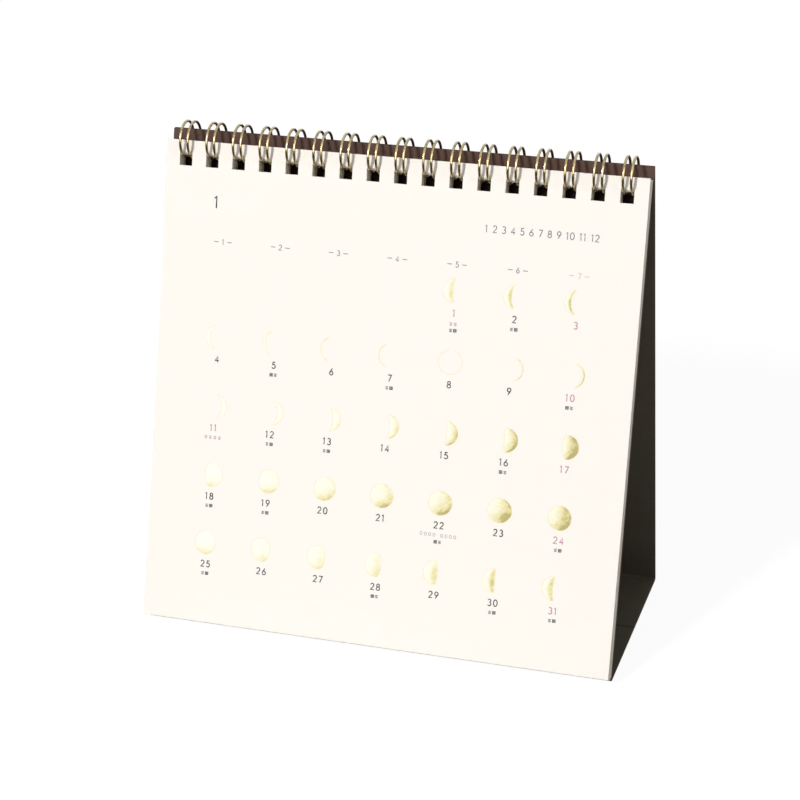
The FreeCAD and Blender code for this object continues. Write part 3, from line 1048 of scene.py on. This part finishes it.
@dataclass
class Binding:
    """The twin-loop wire: a flat comb of hairpins, rolled to rings about their middle."""

    panel: Panel
    row: PunchedRow
    middle: Array
    wire: float = 0.8 * MM
    leg_spacing: float = 2.4 * MM
    root_bend: float = 1.0 * MM
    closure_gap: float = 1.4 * MM
    spine_turn: float = math.radians(227.0)
    sides: int = 14
    root_steps: int = 6
    leg_steps: int = 65
    tip_steps: int = 16
    radius: float = field(init=False)
    middle_out: float = field(init=False)

    def __post_init__(self) -> None:
        """Measure the rings' radius, to the middle of the wire, and how far out their middle is."""
        points = node_points("wire_binding")
        away = np.hypot(points[:, 1] - self.middle[1], points[:, 2] - self.middle[2])
        self.radius = float(away.max() - self.wire / 2)
        self.middle_out = float(self.panel.measure(self.middle[None])[1][0])

    def reach(self, out: float) -> float:
        """How far below their middle the rings cross a sheet that lies so far out, by Pythagoras."""
        return math.sqrt(self.radius ** 2 - (out - self.middle_out) ** 2)

    def hairpin(self) -> Array:
        """One flat hairpin about across = 0, from the spine on its left to the spine on its right.

        Returns:
            Points across and along: a quarter circle at the root, the left leg, a half circle at
            the tip, the right leg and the other root.
        """
        half, bend = self.leg_spacing / 2, self.root_bend
        tip = 2 * math.pi * self.radius - self.closure_gap - half
        quarter = circle(np.linspace(-math.pi / 2, 0, self.root_steps + 1))
        root = bend * quarter + (-half - bend, bend)
        legs = np.linspace(bend, tip, self.leg_steps + 1)[1:-1]
        leg = np.stack([np.full(len(legs), -half), legs], -1)
        top = half * circle(np.linspace(math.pi, 0, self.tip_steps + 1)) + (0.0, tip)
        left = np.concatenate([root, leg])
        right = left[::-1] * (-1.0, 1.0)
        return np.concatenate([left, top, right])

    def comb(self) -> Array:
        """The whole flat comb, its first and last wire cut at the spine.

        Returns:
            Points across and along.
        """
        middles = self.row.middles
        pins = self.hairpin()[None] + np.stack([middles, np.zeros(self.row.count)], -1)[:, None]
        path = pins.reshape(-1, 2)[self.root_steps:-self.root_steps]
        half = self.leg_spacing / 2
        return np.concatenate([[[middles[0] - half, 0.0]], path, [[middles[-1] + half, 0.0]]])

    def rolled(self, flat: Array) -> tuple[Array, Array]:
        """Roll the flat comb about the rings' middle.

        Args:
            flat: Points across and along.

        Returns:
            The points, and at each the unit vector away from the rings' middle: the panel's up
            axis turned towards its out axis by the spine's turn plus along over the radius.
        """
        turn = self.spine_turn + flat[:, 1] / self.radius
        away = circle(turn) * (-1.0, 1.0) @ self.panel.axes[1:]
        across = flat[:, :1] * self.panel.axes[0]
        return across + (0.0, *self.middle[1:]) + away * self.radius, away

    def build(self) -> Piece:
        """Make the round wire along the rolled comb, in place of the CAD binding.

        Returns:
            The piece: rings of points at the wire's radius about each path point, in the plane of
            the vector away from the middle and the one square to it and to the path.
        """
        path, away = self.rolled(self.comb())
        side = unit(np.cross(unit(np.gradient(path, axis=0)), away))
        turns = np.linspace(0, 2 * math.pi, self.sides, endpoint=False)
        ring = (away[:, None] * np.cos(turns)[None, :, None]
                + side[:, None] * np.sin(turns)[None, :, None]) * self.wire / 2
        points = (path[:, None] + ring).reshape(-1, 3)
        ids = np.arange(len(points)).reshape(len(path), self.sides)
        after = np.roll(ids, -1, axis=1)
        quads = np.stack([ids[:-1], after[:-1], after[1:], ids[1:]], -1).reshape(-1, 4)
        faces = quads[:, ::-1].tolist() + [ids[0].tolist(), ids[-1][::-1].tolist()]
        piece = new_piece("round_wire", points, faces, AntiqueGoldWire().material(), smooth=True)
        self.unwrap(piece, path)
        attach(piece, "tent")
        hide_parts("wire_binding")
        return piece

    def unwrap(self, piece: Piece, path: Array) -> None:
        """Give the wire a UV map in metres: u along the wire and v round it.

        Args:
            piece: The wire.
            path: The points along its middle.
        """
        steps = np.linalg.norm(np.diff(path, axis=0), axis=1)
        along = np.concatenate([[0.0], np.cumsum(steps)])
        corners = np.empty(len(piece.data.loops), np.int32)
        piece.data.loops.foreach_get("vertex_index", corners)
        round_wire = (corners % self.sides) / self.sides * math.pi * self.wire
        layer = piece.data.uv_layers.new(name="UVMap")
        layer.data.foreach_set("uv", np.stack(
            [along[corners // self.sides], round_wire], -1).astype(np.float32).ravel())


def dress_stand() -> Piece:
    """Give the folded board, which stays a CAD node, its material.

    Returns:
        The CAD node's object.
    """
    stand = frame["nodes"]["stand"]
    stand.data.materials.clear()
    stand.data.materials.append(DyedBoard().material())
    return stand


@dataclass(frozen=True)
class Softbox:
    """A round white lamp: where it hangs, how wide it is, and its watts."""

    name: str
    place: tuple[float, float, float]
    width: float
    watts: float

    def build(self, aim: Array) -> None:
        """Hang the lamp and turn it to look at the aim.

        Args:
            aim: A point.
        """
        data = bpy.data.lights.new(self.name, "AREA")
        data.shape, data.size, data.energy = "DISK", self.width, self.watts
        lamp = put_in_scene(self.name, data)
        away = self.place - aim
        lamp.location = self.place
        lamp.rotation_euler = (
            math.acos(away[2] / np.linalg.norm(away)), 0.0, math.atan2(away[1], away[0]) + math.pi / 2)


@dataclass
class Studio:
    """A pale floor, soft light mostly from the upper left, and the camera."""

    azimuth: float = 16.70
    elevation: float = 22.18
    distance: float = 689.7 * MM
    aim: tuple[float, float, float] = (-1.53 * MM, -2.9 * MM, 69.36 * MM)
    lens: float = 100.65
    sensor: float = 36.0
    clip: Pair = (0.01, 50.0)
    ambient: float = 0.15
    front_wall: float = 4.2
    other_walls: float = 1.0
    wall_edge: Pair = (-0.92, -0.7)
    floor_size: float = 12.0
    floor_colour: str = "#F4F3F0"
    floor_in_mirrors: str = "#6A625C"
    floor_glow: float = 1.16
    floor_glow_share: float = 0.8
    lamps: tuple[Softbox, ...] = (
        Softbox("key", (-1.5, -3.7, 2.3), 0.6, 140.0),
        Softbox("front", (-0.4, -2.2, 1.5), 1.5, 3.4),
        Softbox("right", (2.5, -1.0, 1.6), 1.2, 12.0),
    )

    def camera(self) -> None:
        """Place the camera on its azimuth and elevation about the aim, and make it the scene's."""
        data = bpy.data.cameras.new("camera")
        data.lens, data.sensor_width = self.lens, self.sensor
        data.clip_start, data.clip_end = self.clip
        camera = put_in_scene("camera", data)
        turn, rise = math.radians(self.azimuth), math.radians(self.elevation)
        back = np.array([math.sin(turn) * math.cos(rise), -math.cos(turn) * math.cos(rise),
                         math.sin(rise)])
        camera.location = back * self.distance + self.aim
        camera.rotation_euler = (math.pi / 2 - rise, 0.0, turn)
        bpy.context.scene.camera = camera

    def world(self) -> None:
        """Fill the world with soft light: even on matt faces, a bright front wall in mirrors."""
        world = bpy.data.worlds.new("soft_white")
        world.use_nodes = True
        world.node_tree.nodes.clear()
        nodes = ShaderTree(world.node_tree)
        path = nodes.add("LightPath").outputs
        to_back = nodes.axis(nodes.coordinates("Generated"), "Y")
        walls = nodes.remap(to_back, self.wall_edge, (self.front_wall, self.other_walls))
        unseen = nodes.remap(path["Is Glossy Ray"], target=(self.ambient, walls))
        strength = nodes.remap(path["Is Camera Ray"], target=(unseen, 1.0))
        light = nodes.add("Background", {"Color": "#FFFFFF", "Strength": strength})
        nodes.add("OutputWorld", {"Surface": light.outputs["Background"]})
        bpy.context.scene.world = world

    def floor(self) -> None:
        """Lay a pale floor, near white to the camera but for the object's shadow, dim in mirrors."""
        half = self.floor_size / 2
        corners = np.array([[-half, -half, 0], [half, -half, 0], [half, half, 0], [-half, half, 0]])
        made, nodes = new_material("pale_floor")
        path = nodes.add("LightPath").outputs
        tone = nodes.mix(path["Is Glossy Ray"], self.floor_colour, self.floor_in_mirrors)
        matt = nodes.add("BsdfDiffuse", {"Color": tone}).outputs[0]
        glow = nodes.add("Emission", {"Strength": self.floor_glow}).outputs[0]
        share = nodes.maths("MULTIPLY", path["Is Camera Ray"], self.floor_glow_share)
        lift = nodes.add("MixShader", {"Fac": share, 1: matt, 2: glow})
        nodes.add("OutputMaterial", {"Surface": lift.outputs[0]})
        new_piece("floor", corners, [[0, 1, 2, 3]], made)

    def build(self) -> None:
        """Set the view, the world, the floor, the lamps and the camera."""
        bpy.context.scene.view_settings.view_transform = "Standard"
        self.world()
        self.floor()
        for lamp in self.lamps:
            lamp.build(np.array(self.aim))
        self.camera()


def report(pieces: Sequence[Piece]) -> None:
    """Log each piece's name and its number of faces."""
    for piece in pieces:
        log.info("%s: %d faces", piece.name, len(piece.data.polygons))


def main() -> None:
    """Build every sub-assembly, light it, and log the pieces' faces."""
    logging.basicConfig(level=logging.INFO, format="%(message)s")
    panel = front_panel()
    leaves = LeafBlock(panel)
    binding = Binding(panel, leaves.row, np.array(frame["joints"][0]["pos_m"]))
    report(leaves.build(binding))
    report(PrintedFace(leaves).build())
    report([binding.build(), dress_stand()])
    Studio().build()


if __name__ == "__main__":
    main()
